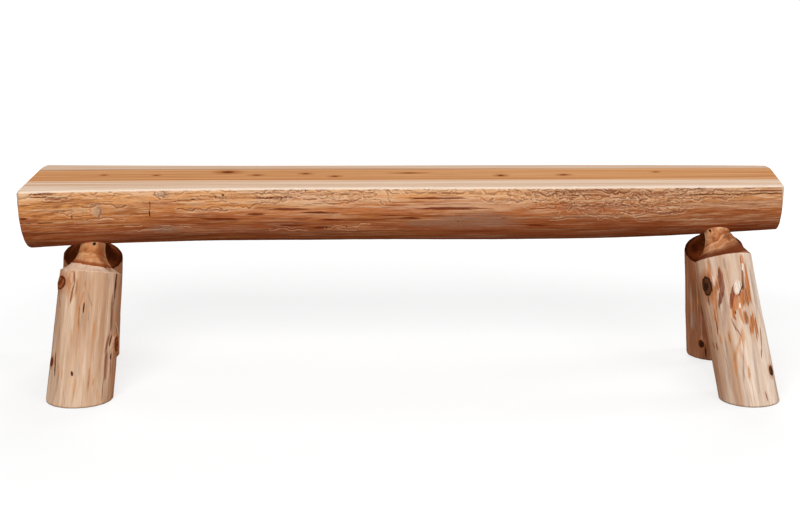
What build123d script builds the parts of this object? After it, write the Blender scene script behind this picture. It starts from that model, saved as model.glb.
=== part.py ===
"""A rustic bench: half a log for the seat, on four splayed pole legs.

Millimetres. +X runs along the seat from its butt end to its tip end, -Y is the front, +Z is up.
The origin is on the floor, under the middle of the seat.

It is made as a log builder makes it. A tapering log is sawn flat. Each peeled pole gets a round
tenon, and the tenon cutter leaves a hollow shoulder that flares from the neck to the rim. The tenon
sits in a blind mortise in the round underside of the log, and a long screw, driven up through the
neck into the seat, locks it there. Then all four feet are sawn off level.
"""
from dataclasses import dataclass
from math import acos, cos, pi, radians, sin, sqrt, tan
import os

from build123d import *

# Seat: the sawn half log
seat_length = 1524.0
seat_height = 425.0  # floor to the flat top
butt_width = 292.0  # of the flat top, before its edges are eased
middle_width = 246.0
tip_width = 219.0
butt_depth = 141.5  # flat top down to the round underside
middle_depth = 131.0
tip_depth = 110.0
even_taper = 0.15  # share of the taper that is even from end to end, where the rest is near the ends
butt_swing = 10.0  # how far the log bends to the front at its butt
seat_lobe = 1.5  # how far the log swells and dips from a true round
end_skew = 1.0  # degrees that both end cuts are out of square
seat_easing = 3.5  # radius sanded on all its sawn edges
log_stations = 9
log_points = 12  # round each station

# Mortise and tenon, the same at every leg
mortise_spacing = 96.0  # front mortise to back mortise, on the underside
across_splay = 21.3  # degrees off upright, out to the front or the back
tenon_diameter = 50.8
tenon_length = 50.0  # from the underside up into the log
tenon_chamfer = 3.0
mortise_clearance = 0.1  # all round the tenon
mortise_end_gap = 0.3  # past the tenon's end
shoulder_radius = 58.0  # of the hollow that the tenon cutter leaves
rim_easing = 1.8  # bevel rubbed on the rim between shoulder and pole

# Poles
foot_easing = 3.5  # bevel rubbed round the sawn foot
knot_stretch = 1.6  # a knot's length along the grain over its width

# One long screw locks each tenon
screw_length = 76.2
screw_head_diameter = 7.6
screw_head_height = 3.4
screw_shank_diameter = 4.2
screw_point = 8.0  # length of the tapered point
screw_tip_diameter = 1.0  # the point is a little blunt
screw_angle = 48.0  # degrees between the screw and the leg
screw_below_seat = 6.5  # from the seat's skin down the neck to the middle of the screw's hole
screw_sink = 5.0  # head top below the neck's surface
screw_clearance = 0.1  # round the head and the shank
drive_width = 2.9  # square recess in the head
drive_depth = 2.2

overcut = 60.0  # how far a saw, drill or cutter reaches past the wood


@dataclass
class Knot:
    """A branch stub that was trimmed with a drawknife and still stands a little proud of its pole."""

    below_seat: float  # along the leg
    around: float  # degrees round the leg, 0 towards the tip end and -90 towards the front
    width: float
    proud: float


@dataclass
class Leg:
    """What differs from leg to leg, and what follows from it."""

    name: str
    end: int  # -1 at the butt end, 1 at the tip end
    side: int  # -1 at the front, 1 at the back
    inset: float  # end of the seat to the mortise, on the underside
    neck_length: float  # straight neck below the underside, before the shoulder flares
    end_splay: float  # degrees off upright, out past the mortise towards the end
    shoulder_diameter: float  # of the pole, tapered on up to the underside
    foot_diameter: float  # of the pole, at the floor
    screw_around: float  # degrees round the leg, as for a knot
    knots: list

    def up(self):
        """Direction of the leg, foot to seat."""
        along = self.end * tan(radians(self.end_splay))
        across = self.side * tan(radians(across_splay))
        return Vector(-along, -across, 1).normalized()

    def mouth(self):
        """Where the leg's axis comes out of the round underside."""
        x = self.end * (seat_length / 2 - self.inset)
        from_middle = self.side * mortise_spacing / 2 - seat_middle(x)
        return seat_skin(x, acos(-from_middle / seat_half_width(x)))

    def plane(self):
        """The leg's own frame: Z along it from 0 at the underside, X towards the seat's tip end."""
        up = self.up()
        along = Vector(1, 0, 0)
        return Plane(origin=self.mouth(), x_dir=along - up * along.dot(up), z_dir=up)

    def length_below(self):
        return self.mouth().Z / self.up().Z

    def radius(self, below):
        """Of the pole, this far below the underside."""
        share = below / self.length_below()
        return (self.shoulder_diameter + (self.foot_diameter - self.shoulder_diameter) * share) / 2


legs = [
    Leg(
        "leg_front_left",
        end=-1,
        side=-1,
        inset=129.0,
        neck_length=3.5,
        end_splay=4.3,
        shoulder_diameter=121.0,
        foot_diameter=131.0,
        screw_around=-74.0,
        knots=[Knot(88, -146, 30, 5)],
    ),
    Leg(
        "leg_front_right",
        end=1,
        side=-1,
        inset=125.0,
        neck_length=3.5,
        end_splay=9.9,
        shoulder_diameter=110.0,
        foot_diameter=115.0,
        screw_around=-133.0,
        knots=[Knot(110, -144, 28, 2.5)],
    ),
    Leg(
        "leg_back_left",
        end=-1,
        side=1,
        inset=117.0,
        neck_length=9.0,
        end_splay=6.9,
        shoulder_diameter=123.0,
        foot_diameter=126.0,
        screw_around=-56.0,
        knots=[],
    ),
    Leg(
        "leg_back_right",
        end=1,
        side=1,
        inset=119.0,
        neck_length=16.0,
        end_splay=5.6,
        shoulder_diameter=124.0,
        foot_diameter=125.0,
        screw_around=-128.0,
        knots=[],
    ),
]


def tapered(butt, middle, tip, x):
    """A size of the log at x, which flares at the butt, runs nearly even and drops at the tip."""
    u = 2 * x / seat_length
    swing = even_taper * u + (1 - even_taper) * u**3
    return middle + (tip - butt) / 2 * swing + ((tip + butt) / 2 - middle) * u**2


def seat_half_width(x):
    return tapered(butt_width, middle_width, tip_width, x) / 2


def seat_depth(x):
    return tapered(butt_depth, middle_depth, tip_depth, x)


def seat_middle(x):
    """y of the log's middle line, which bends to the front near the butt."""
    return -butt_swing * (0.5 - x / seat_length) ** 6


def seat_skin(x, angle):
    """A point of the log's skin, where the angle is 0 at the front edge and pi / 2 at the bottom."""
    turn = 2 * pi * x / seat_length  # the lobes wind once round the log on their way along it
    lobe = seat_lobe * sin(angle) ** 2 * cos(3 * angle + turn)
    y = seat_middle(x) - (seat_half_width(x) + lobe) * cos(angle)
    z = seat_height - (seat_depth(x) + lobe) * sin(angle)
    return Vector(x, y, z)


def inside_seat(point):
    across = (point.Y - seat_middle(point.X)) / seat_half_width(point.X)
    down = (seat_height - point.Z) / seat_depth(point.X)
    return across**2 + down**2 < 1


def log_through(sections):
    """A solid ruled from one closed smooth section to the next, each given by points on it."""
    return Solid.make_loft([Wire([Spline(*points, periodic=True)]) for points in sections], ruled=True)


def seat_half_log():
    reach = seat_length / 2 + overcut
    sections = []
    for i in range(log_stations):
        x = reach * (2 * i / (log_stations - 1) - 1)
        # Each section starts at the side that is sawn off, which keeps the skin's seam out of the seat.
        sections.append([seat_skin(x, 2 * pi * (k / log_points - 0.25)) for k in range(log_points)])
    seat = split(log_through(sections), Plane.XY.offset(seat_height), keep=Keep.BOTTOM)
    for end in (-1, 1):
        outward = Vector(end, 0, 0).rotate(Axis.Z, -end_skew)
        seat = split(seat, Plane(origin=(end * seat_length / 2, 0, 0), z_dir=outward), keep=Keep.BOTTOM)
    seat = fillet(seat.edges(), seat_easing)
    for leg in legs:
        seat -= mortise(leg)
        seat -= screw_hole(leg)
    return seat


def mortise(leg):
    deep = tenon_length + mortise_end_gap
    radius = tenon_diameter / 2 + mortise_clearance
    drill = Cylinder(radius, deep + overcut, align=(Align.CENTER, Align.CENTER, Align.MAX))
    return leg.plane() * Pos(0, 0, deep) * drill


def pole(leg):
    """The peeled pole in the leg's own frame, from the tenon's end to past the floor."""
    bottom = leg.length_below() + overcut
    centred = (Align.CENTER, Align.CENTER, Align.MIN)
    taper = Cone(leg.radius(bottom), leg.radius(-tenon_length), bottom + tenon_length, align=centred)
    return Pos(0, 0, -bottom) * taper


def tenon_waste(leg):
    """What the tenon cutter takes off, all round the tenon and the neck and in the hollow."""
    neck = tenon_diameter / 2
    wide = neck + shoulder_radius + overcut
    top = tenon_length + overcut
    hollow_top = -leg.neck_length
    hollow_bottom = hollow_top - shoulder_radius
    profile = Polyline((wide, hollow_bottom), (wide, top), (neck, top), (neck, hollow_top))
    profile += RadiusArc((neck, hollow_top), (neck + shoulder_radius, hollow_bottom), -shoulder_radius)
    profile += Line((neck + shoulder_radius, hollow_bottom), (wide, hollow_bottom))
    return revolve(Plane.XZ * make_face(profile), Axis.Z)


def knot_stub(leg, knot):
    """An egg along the grain, sunk until what stands out has the knot's width and height."""
    around = radians(knot.around)
    pole_radius = leg.radius(knot.below_seat)
    rise = pole_radius + knot.proud - sqrt(pole_radius**2 - (knot.width / 2) ** 2)
    egg = (rise**2 + (knot.width / 2) ** 2) / (2 * rise)
    half = EllipticalCenterArc((0, 0), egg, egg * knot_stretch, start_angle=-90, arc_size=180)
    stub = revolve(Plane.XZ * make_face(half + Line(half @ 1, half @ 0)), Axis.Z)
    out = pole_radius + knot.proud - egg
    return Pos(out * cos(around), out * sin(around), -knot.below_seat) * stub


def pole_leg(leg):
    blank = pole(leg)
    waste = tenon_waste(leg)
    shaped = blank - waste
    tenon_end = shaped.faces().sort_by(Axis.Z)[-1].edges()
    rim = new_edges(blank, waste, combined=shaped).filter_by_position(Axis.Z, -leg.length_below(), 0)
    shaped = chamfer(rim, rim_easing)
    shaped = chamfer(shaped.edges().sort_by(Axis.Z)[-len(tenon_end) :], tenon_chamfer)
    for knot in leg.knots:
        shaped += knot_stub(leg, knot)
    shaped = split(leg.plane() * shaped, Plane.XY, keep=Keep.TOP)
    shaped = chamfer(shaped.faces().sort_by(Axis.Z)[0].edges(), foot_easing)
    return shaped - screw_hole(leg)


def screw_plane(leg):
    """Origin where the screw enters the neck, Z along the screw towards its point."""
    side = leg.plane() * Rot(0, 0, leg.screw_around) * Pos(tenon_diameter / 2, 0, 0)
    low, high = -tenon_length, tenon_length
    while high - low > screw_clearance:
        middle = (low + high) / 2
        if inside_seat((side * Pos(0, 0, middle)).position):
            high = middle
        else:
            low = middle
    return side * Pos(0, 0, low - screw_below_seat) * Rot(0, -screw_angle, 0)


def turned(*corners):
    """A solid of revolution about Z, from the radius and the height of each corner of its side."""
    outline = Polyline((0, corners[0][1]), *corners, (0, corners[-1][1]), close=True)
    return revolve(Plane.XZ * make_face(outline), Axis.Z)


def screw_hole(leg):
    """A pilot for the shank, and a counterbore that lets the head down into the neck."""
    counterbore = screw_head_diameter / 2 + screw_clearance
    pilot = screw_shank_diameter / 2 + screw_clearance
    under_head = screw_sink + screw_head_height
    end = screw_sink + screw_length + screw_clearance
    drill = turned((counterbore, -overcut), (counterbore, under_head), (pilot, under_head), (pilot, end))
    return screw_plane(leg) * drill


def screw(leg):
    head = screw_head_diameter / 2
    shank = screw_shank_diameter / 2
    under_head = screw_sink + screw_head_height
    tip = screw_sink + screw_length
    blank = turned(
        (head, screw_sink),
        (head, under_head),
        (shank, under_head),
        (shank, tip - screw_point),
        (screw_tip_diameter / 2, tip),
    )
    drive = Box(drive_width, drive_width, drive_depth, align=(Align.CENTER, Align.CENTER, Align.MIN))
    return screw_plane(leg) * (blank - Pos(0, 0, screw_sink) * drive)


def main():
    os.makedirs("parts", exist_ok=True)
    nodes = {"seat_half_log": seat_half_log()}
    for leg in legs:
        nodes[leg.name] = pole_leg(leg)
    nodes["leg_screws"] = Compound(children=[screw(leg) for leg in legs])
    for name, shape in nodes.items():
        export_step(shape, f"parts/{name}.step")


if __name__ == "__main__":
    main()
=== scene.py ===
import math

import bpy
import numpy as np
from mathutils import Matrix, Vector, kdtree


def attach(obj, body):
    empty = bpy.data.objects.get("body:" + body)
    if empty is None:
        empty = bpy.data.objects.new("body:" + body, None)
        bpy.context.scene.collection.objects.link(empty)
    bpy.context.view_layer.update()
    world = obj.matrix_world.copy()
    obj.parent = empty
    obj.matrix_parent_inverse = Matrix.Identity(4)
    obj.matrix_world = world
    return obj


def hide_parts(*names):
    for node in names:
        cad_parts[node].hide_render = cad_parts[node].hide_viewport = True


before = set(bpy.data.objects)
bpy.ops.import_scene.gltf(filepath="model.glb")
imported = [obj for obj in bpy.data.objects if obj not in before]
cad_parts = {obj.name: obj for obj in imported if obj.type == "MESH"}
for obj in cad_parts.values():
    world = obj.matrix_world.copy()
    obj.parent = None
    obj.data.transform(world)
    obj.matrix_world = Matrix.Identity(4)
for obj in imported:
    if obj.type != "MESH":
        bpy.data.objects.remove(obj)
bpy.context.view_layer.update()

# Log bench: half a log for the seat, four peeled poles for legs, one long screw up through each neck.
# Metres. +X runs from the log's butt end to its tip end, -Y is the front, the floor is z = 0.


def ease(low, high, value):
    # 0 at low, 1 at high, smooth between and level beyond
    t = np.clip((value - low) / (high - low), 0, 1)
    return t * t * (3 - 2 * t)


def ridge(value, middle, width):
    # 1 at the middle, falling away smoothly to both sides
    return np.exp(-(((value - middle) / width) ** 2))


def softNoise(x, y, z, seed):
    # smooth random heights from -1 to 1, one cell to a unit, so that a factor on a length is cells to a metre
    cells = 32
    table = np.random.default_rng(seed).uniform(-1, 1, (cells, cells, cells))
    place = np.broadcast_arrays(x, y, z)
    whole = [np.floor(v).astype(int) for v in place]
    eased = [ease(0, 1, v - w) for v, w in zip(place, whole)]
    total = np.zeros(place[0].shape)
    for corner in np.ndindex(2, 2, 2):
        weight = 1.0
        for step, part in zip(corner, eased):
            weight = weight * (part if step else 1 - part)
        i, j, k = [(w + step) % cells for w, step in zip(whole, corner)]
        total += weight * table[i, j, k]
    return total


def halving(low, high, isBeyond, times):
    # the last place before isBeyond begins
    for again in range(times):
        middle = (low + high) / 2
        beyond = isBeyond(middle)
        low, high = np.where(beyond, low, middle), np.where(beyond, middle, high)
    return low


def facetDent(turns, depth):
    # flats left by a drawknife, one to each whole turn: deepest in the middle, nothing at the ridge
    t = turns - np.floor(turns) - 0.5
    return -depth * (1 - 4 * t * t)


def skinRings(name, rings, values):
    # one closed mesh through rings of points, with a fan to a middle point at both ends
    count, size = rings.shape[:2]
    points = np.concatenate([rings.reshape(-1, 3), rings[:1].mean(1), rings[-1:].mean(1)])
    here = np.arange(size)
    after = (here + 1) % size
    faces = []
    for low in range(0, (count - 1) * size, size):
        high = low + size
        faces += np.stack([low + here, low + after, high + after, high + here], 1).tolist()
    last = (count - 1) * size
    faces += np.stack([after, here, np.full(size, count * size)], 1).tolist()
    faces += np.stack([last + here, last + after, np.full(size, count * size + 1)], 1).tolist()
    mesh = bpy.data.meshes.new(name)
    mesh.from_pydata(points.tolist(), [], faces)
    for key, value in values.items():
        kind, field = ("FLOAT_VECTOR", "vector") if value.ndim == 3 else ("FLOAT", "value")
        flat = value.reshape(count * size, -1)
        flat = np.concatenate([flat, flat[:size].mean(0)[None], flat[-size:].mean(0)[None]])
        mesh.attributes.new(key, kind, "POINT").data.foreach_set(field, flat.astype(np.float32).ravel())
    mesh.shade_smooth()
    piece = bpy.data.objects.new(name, mesh)
    bpy.context.scene.collection.objects.link(piece)
    return piece


def settle(piece, node, material):
    # stands for its CAD node, rides on the one body and takes its finish
    piece.data.materials.clear()
    piece.data.materials.append(material)
    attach(piece, "root")
    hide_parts(node)


def linear(tone):
    # 0 to 255 as a screen shows it, to linear light
    levels = []
    for level in tone:
        v = level / 255
        levels.append(v / 12.92 if v <= 0.04045 else ((v + 0.055) / 1.055) ** 2.4)
    return (*levels, 1.0)


class Nodes:
    # a node tree, with short names for what the finishes do over and over; tones are 0 to 255

    def __init__(self, tree):
        self.tree = tree

    def add(self, kind, sockets=None, **settings):
        made = self.tree.nodes.new("ShaderNode" + kind)
        for key, value in settings.items():
            setattr(made, key, value)
        for key, value in (sockets or {}).items():
            socket = made.inputs[key]
            if isinstance(value, bpy.types.NodeSocket):
                self.tree.links.new(value, socket)
            elif socket.type == "RGBA":
                socket.default_value = linear(value)
            else:
                socket.default_value = value
        return made

    def attribute(self, name, output="Fac"):
        return self.add("Attribute", attribute_name=name).outputs[output]

    def split(self, vector):
        return self.add("SeparateXYZ", {0: vector}).outputs

    def join(self, x, y, z):
        return self.add("CombineXYZ", {0: x, 1: y, 2: z}).outputs[0]

    def length(self, vector):
        return self.add("VectorMath", {0: vector}, operation="LENGTH").outputs["Value"]

    def noise(self, vector, scale, detail=3, roughness=0.55):
        # from 0 to 1, mostly near a half, with so many cells to a metre along each axis
        place = self.add("VectorMath", {0: vector, 1: scale}, operation="MULTIPLY").outputs[0]
        sockets = {"Vector": place, "Scale": 1.0, "Detail": detail, "Roughness": roughness}
        return self.add("TexNoise", sockets).outputs["Fac"]

    def sway(self, vector, scale, detail=3, roughness=0.55):
        # the same to both sides of nothing
        return self.minus(self.noise(vector, scale, detail, roughness), 0.5)

    def math(self, operation, a, b=0.0):
        return self.add("Math", {0: a, 1: b}, operation=operation).outputs[0]

    def plus(self, a, b):
        return self.math("ADD", a, b)

    def minus(self, a, b):
        return self.math("SUBTRACT", a, b)

    def times(self, a, b):
        return self.math("MULTIPLY", a, b)

    def nudge(self, value, by, amount):
        return self.plus(value, self.times(by, amount))

    def step(self, value, low, high, start=0.0, end=1.0):
        # start at low, end at high, smooth between and level beyond
        sockets = {"Value": value, "From Min": low, "From Max": high, "To Min": start, "To Max": end}
        return self.add("MapRange", sockets, interpolation_type="SMOOTHSTEP").outputs["Result"]

    def band(self, value, low, risen, falling, high):
        return self.times(self.step(value, low, risen), self.step(value, high, falling))

    def mix(self, share, a, b):
        return self.add("Mix", {0: share, 6: a, 7: b}, data_type="RGBA").outputs[2]

    def paint(self, base, *coats):
        # tones over the base one by one: none where a coat's value is low, all its strength where it is high
        for tone, value, low, high, strength in coats:
            base = self.mix(self.step(value, low, high, 0, strength), base, tone)
        return base

    def ramp(self, value, places, tones):
        made = self.add("ValToRGB", {0: value})
        elements = made.color_ramp.elements
        while len(elements) < len(places):
            elements.new(0.5)
        for element, place, tone in zip(elements, places, tones):
            element.position = place
            element.color = linear(tone)
        return made.outputs[0]

    def oval(self, vector, middle, half, turned=(0, 0, 0)):
        # 0 in the middle of an oval, 1 at its edge
        sockets = {"Vector": vector, "Location": middle, "Rotation": turned, "Scale": half}
        return self.length(self.add("Mapping", sockets, vector_type="TEXTURE").outputs[0])

    def nearest(self, ovals):
        least = ovals[0]
        for far in ovals[1:]:
            least = self.math("MINIMUM", least, far)
        return least


def newFinish(name):
    material = bpy.data.materials.new(name)
    material.use_nodes = True
    tree = material.node_tree
    return material, Nodes(tree), tree.nodes["Principled BSDF"]


woodBump = dict(strength=0.6, distance=0.0006)


def finishWood(n, shader, colour, rough, height):
    # satin with no shine of its own, so that the tones stay as they are given
    sockets = {"Strength": woodBump["strength"], "Distance": woodBump["distance"], "Height": height}
    n.tree.links.new(colour, shader.inputs["Base Color"])
    n.tree.links.new(rough, shader.inputs["Roughness"])
    n.tree.links.new(n.add("Bump", sockets).outputs[0], shader.inputs["Normal"])
    shader.inputs["Specular IOR Level"].default_value = 0.0


print("seat")

halfLog = dict(
    length=1.524,
    height=0.425,
    widths=(0.292, 0.246, 0.219),  # at the butt, in the middle, at the tip
    depths=(0.1415, 0.131, 0.110),
    evenTaper=0.15,  # how much of the taper is even, and the rest is near the ends
    buttSwing=0.010,
    lobe=0.0015,
    endSkew=1.0,  # degrees
    easing=0.0035,
    columnStep=0.0024,
    # bands of rows down the side: how far round to go, and how close the rows are
    rowBands=[(0.052, 0.001), (0.1, 0.0018), (0.2, 0.0052), (0.316, 0.01), (0.4, 0.0034)],
    topShares=(0.006, 0.025, 0.12, 0.3, 0.5, 0.7, 0.88, 0.975, 0.994),
    capShares=(0.985, 0.95, 0.90, 0.82, 0.72, 0.6, 0.46, 0.3, 0.15),
    capHeart=0.045,  # rings of the sawn ends draw in towards a point this far under the top
    cornerSoftness=0.006,
    cornerReach=0.03,
    facetWidth=0.034,
    facetDepth=0.0007,
    unevenness=0.0009,
    fibreDepth=0.00012,
    pith=(0.013, 0.004),  # y and height over the flat top
    # zones of beetle tracks on the bark side: x from, x to, down from, down to, tracks
    trackZones=[
        (-0.425, -0.325, 0.0, 0.048, 11), (-0.285, -0.056, 0.0, 0.034, 34), (-0.056, 0.15, 0.0, 0.013, 18),
        (0.142, 0.285, 0.0, 0.036, 22), (0.285, 0.59, 0.0, 0.046, 70), (0.29, 0.6, 0.04, 0.08, 16),
        (-0.7, -0.48, 0.0, 0.018, 6), (-0.72, -0.62, 0.03, 0.075, 5), (-0.56, -0.42, 0.08, 0.1, 4),
        (-0.2, -0.12, 0.08, 0.1, 3), (0.6, 0.74, 0.0, 0.03, 6),
    ],
    backZones=[(-0.6, -0.2, 0.0, 0.055, 40), (0.1, 0.45, 0.0, 0.06, 36)],
    # where the wood between the tracks is gnawed too: x from, x to, down from, down to, how much
    gnawed=[
        (0.2, 0.6, -0.01, 0.04, 1.0), (0.34, 0.56, 0.02, 0.064, 0.8), (-0.285, -0.05, -0.01, 0.026, 0.8),
        (-0.05, 0.2, -0.01, 0.008, 0.9), (-0.43, -0.33, 0.0, 0.036, 0.6), (0.59, 0.7, -0.01, 0.026, 0.7),
    ],
    backGnawed=[(-0.56, -0.24, -0.01, 0.04, 0.9), (0.12, 0.42, -0.01, 0.046, 0.9)],
    trackStep=0.0008,
    trackSteps=(30, 140),
    trackRestless=(0.13, 0.38),
    trackCell=0.002,  # a track swerves away from the cells of others, or ends there
    trackSwerve=0.9,
    trackEnds=0.2,
    trackWidth=(0.0009, 0.0015),  # half widths
    trackDepth=(0.0010, 0.0017),
    lipRise=0.00035,
    creaseDepth=0.0007,
    holeDepth=0.0022,
    # broken rings of track round healed scars: x, down, half length, half height, degrees of tilt
    loops=[
        (-0.483, 0.011, 0.009, 0.008, 0), (-0.612, 0.046, 0.01, 0.016, 8), (0.322, 0.053, 0.021, 0.0062, 40),
    ],
    loopTrack=(0.0012, 0.0013),  # half width and depth
    # holes where beetles came out: x, down, radius
    holes=[
        (-0.418, 0.022, 0.0016), (-0.373, 0.018, 0.0014), (-0.358, 0.014, 0.0018), (-0.193, 0.006, 0.0014),
        (0.589, 0.004, 0.0022), (-0.114, 0.092, 0.0016), (-0.144, 0.09, 0.0013), (0.11, 0.078, 0.0012),
        (-0.3, 0.34, 0.0018), (0.22, 0.362, 0.002), (0.3, 0.345, 0.0016),
    ],
    # cracks: x and down at both ends, half width, depth
    cracks=[
        (0.545, 0.019, 0.79, 0.016, 0.0008, 0.0018), (-0.503, 0.022, -0.508, 0.08, 0.001, 0.0014),
        (-0.662, 0.034, -0.657, 0.1, 0.0006, 0.0008), (-0.79, 0.072, -0.69, 0.075, 0.0007, 0.0015),
        (-0.79, 0.3, -0.52, 0.292, 0.0008, 0.0016),
    ],
)


def tapered(measures, x):
    butt, middle, tip = measures
    u = 2 * x / halfLog["length"]
    swing = halfLog["evenTaper"] * u + (1 - halfLog["evenTaper"]) * u**3
    return middle + (tip - butt) / 2 * swing + ((tip + butt) / 2 - middle) * u**2


def logHalfWidth(x):
    return tapered(halfLog["widths"], x) / 2


def logDepth(x):
    return tapered(halfLog["depths"], x)


def logMiddle(x):
    return -halfLog["buttSwing"] * (0.5 - x / halfLog["length"]) ** 6


def logSkin(x, angle):
    # y and z of the log's skin, 0 at the front edge and pi / 2 at the bottom
    turn = 2 * math.pi * x / halfLog["length"]
    lobe = halfLog["lobe"] * np.sin(angle) ** 2 * np.cos(3 * angle + turn)
    y = logMiddle(x) - (logHalfWidth(x) + lobe) * np.cos(angle)
    z = halfLog["height"] - (logDepth(x) + lobe) * np.sin(angle)
    return y, z


def beetleTracks(rng, zones):
    # winding grooves that beetles ate under the bark, as points with a half width and a depth each
    stride, size = halfLog["trackStep"], halfLog["trackCell"]
    tracks, taken = [], {}
    for xFrom, xTo, downFrom, downTo, count in zones:
        for again in range(count):
            x, down = rng.uniform(xFrom, xTo), rng.uniform(downFrom, downTo)
            way, wander = rng.choice([0, math.pi]) + rng.normal(0, 0.2), 0.0
            restless = rng.uniform(*halfLog["trackRestless"])
            width, depth = rng.uniform(*halfLog["trackWidth"]), rng.uniform(*halfLog["trackDepth"])
            mine = len(tracks)
            for step in range(int(rng.uniform(*halfLog["trackSteps"]))):
                wander += rng.normal(0, restless) - 0.12 * wander
                way += rng.normal(0, 0.04) - 0.03 * math.sin(2 * way)
                x += stride * math.cos(way + wander)
                down += stride * math.sin(way + wander)
                if down < downFrom or down > downTo:
                    way = -way
                    down = min(max(down, downFrom), downTo)
                cell = (round(x / size), round(down / size))
                near = [taken.get((cell[0] + i, cell[1] + j), -1) for i in (-1, 0, 1) for j in (-1, 0, 1)]
                crowded = [k for k in near if k >= 0 and (k < mine or k < len(tracks) - 12)]
                if crowded:
                    if rng.random() < halfLog["trackEnds"]:
                        break
                    wander += rng.choice([-halfLog["trackSwerve"], halfLog["trackSwerve"]])
                taken[cell] = len(tracks)
                tracks.append((x, down, width, depth))
    return tracks


def loopTracks():
    # an oval of track, bent a little out of true and open where it fades
    points = []
    for x, down, halfLength, halfHeight, degrees in halfLog["loops"]:
        tilt = math.radians(degrees)
        for turn in np.linspace(0, 2 * math.pi, 90):
            bent = 1 + 0.12 * math.sin(3 * turn + x * 40) + 0.08 * math.sin(7 * turn)
            if math.sin(2 * turn + x * 25) > -0.55:
                long, short = bent * halfLength * math.cos(turn), bent * halfHeight * math.sin(turn)
                alongX = x + long * math.cos(tilt) - short * math.sin(tilt)
                alongDown = down - long * math.sin(tilt) - short * math.cos(tilt)
                points.append((alongX, alongDown, *halfLog["loopTrack"]))
    return points


def trackDepths(tracks, x, down):
    # how deep the tracks cut, and how far each point is from one in half widths, up to a limit
    limit = 6.0
    tree = kdtree.KDTree(len(tracks))
    for i, (trackX, trackDown, width, depth) in enumerate(tracks):
        tree.insert((trackX, trackDown, 0), i)
    tree.balance()
    cut, away = np.zeros(x.size), np.full(x.size, limit)
    for k, (pointX, pointDown) in enumerate(zip(x.ravel(), down.ravel())):
        i, far = tree.find((pointX, pointDown, 0))[1:]
        width, depth = tracks[i][2:]
        if far / width < limit:
            away[k] = far / width
            cut[k] = depth * (1 - min(away[k] / 1.7, 1) ** 2)
    return cut.reshape(x.shape), away.reshape(x.shape)


def gnawedShare(zones, x, down):
    share = np.zeros_like(x)
    for xFrom, xTo, downFrom, downTo, much in zones:
        along = ease(xFrom - 0.03, xFrom + 0.03, x) * ease(xTo + 0.03, xTo - 0.03, x)
        across = ease(downFrom - 0.006, downFrom, down) * ease(downTo + 0.008, downTo - 0.008, down)
        share = np.maximum(share, much * along * across)
    return share * ease(-0.55, 0.05, softNoise(x * 26, down * 60, 0.0, 12))


def crackDistance(crack, x, down):
    # distance from a crack that wanders a little, in half widths
    startX, startDown, endX, endDown, half = crack[:5]
    length = math.hypot(endX - startX, endDown - startDown)
    wayX, wayDown = (endX - startX) / length, (endDown - startDown) / length
    along = np.clip((x - startX) * wayX + (down - startDown) * wayDown, 0, length)
    wander = 0.0012 * softNoise(along * 90, startDown * 100, 0, 51)
    across = np.hypot(x - startX - along * wayX, down - startDown - along * wayDown + wander)
    taper = np.sqrt(np.clip(np.minimum(along, length - along) / length * 4, 0.02, 1))
    return across / (half * taper)


def seatForm():
    # plain rings from end to end, each from the front edge down round the log and back over its flat top
    log = halfLog
    r, reach = log["easing"], log["length"] / 2
    skew = math.tan(math.radians(log["endSkew"]))
    corner = np.radians([0, 30, 60, 90])
    ends = r * (1 - np.cos(corner))
    inner = np.linspace(-reach + r, reach - r, int((2 * reach - 2 * r) / log["columnStep"]))
    columns = np.concatenate([-reach + ends, inner[1:-1], reach - ends[::-1]])[:, None]
    inward = np.zeros_like(columns)
    inward[: len(corner), 0] = r * (1 - np.sin(corner))
    inward[-len(corner) :] = inward[: len(corner)][::-1]

    arcs, start = [np.array([0.0])], 0.0
    for stop, gap in log["rowBands"]:
        arcs.append(np.linspace(start, stop, int(round((stop - start) / gap)) + 1)[1:])
        start = stop
    share = np.concatenate(arcs) / start
    x = columns + np.zeros((1, len(share)))
    for again in range(3):
        first = np.arcsin(r / logDepth(x))
        y, z = logSkin(x, first + (math.pi - 2 * first) * share)
        x = columns + y * skew
    around = math.pi * np.sqrt((logHalfWidth(x) ** 2 + logDepth(x) ** 2) / 2)

    turn = corner[1:]
    backY = y[:, -1:] - r + r * np.cos(turn)
    frontY = (y[:, :1] + r - r * np.cos(turn))[:, ::-1]
    topY = backY[:, -1:] + (frontY[:, :1] - backY[:, -1:]) * np.array(log["topShares"])
    ringY = np.concatenate([y, backY, topY, frontY], 1)
    backZ = z[:, -1:] + r * np.sin(turn)
    frontZ = (z[:, :1] + r * np.sin(turn))[:, ::-1]
    ringZ = np.concatenate([z, backZ, np.full_like(topY, log["height"]), frontZ], 1)
    edgeDown = r * (1 - turn / (math.pi / 2)) + np.zeros_like(backY)
    down = r + (around - 2 * r) * share
    down = np.concatenate([down, around[:, -1:] - edgeDown, np.full_like(topY, -1), edgeDown[:, ::-1]], 1)
    easedSkin = np.ones_like(backY) * [0.8, 0.3, 0.0]
    skin = np.concatenate([np.ones_like(y), easedSkin, np.zeros_like(topY), easedSkin[:, ::-1]], 1)
    return dict(columns=columns, inward=inward, skew=skew, rows=len(share), around=around,
                x=columns + ringY * skew, y=ringY, z=ringZ, down=down, skin=skin)


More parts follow.
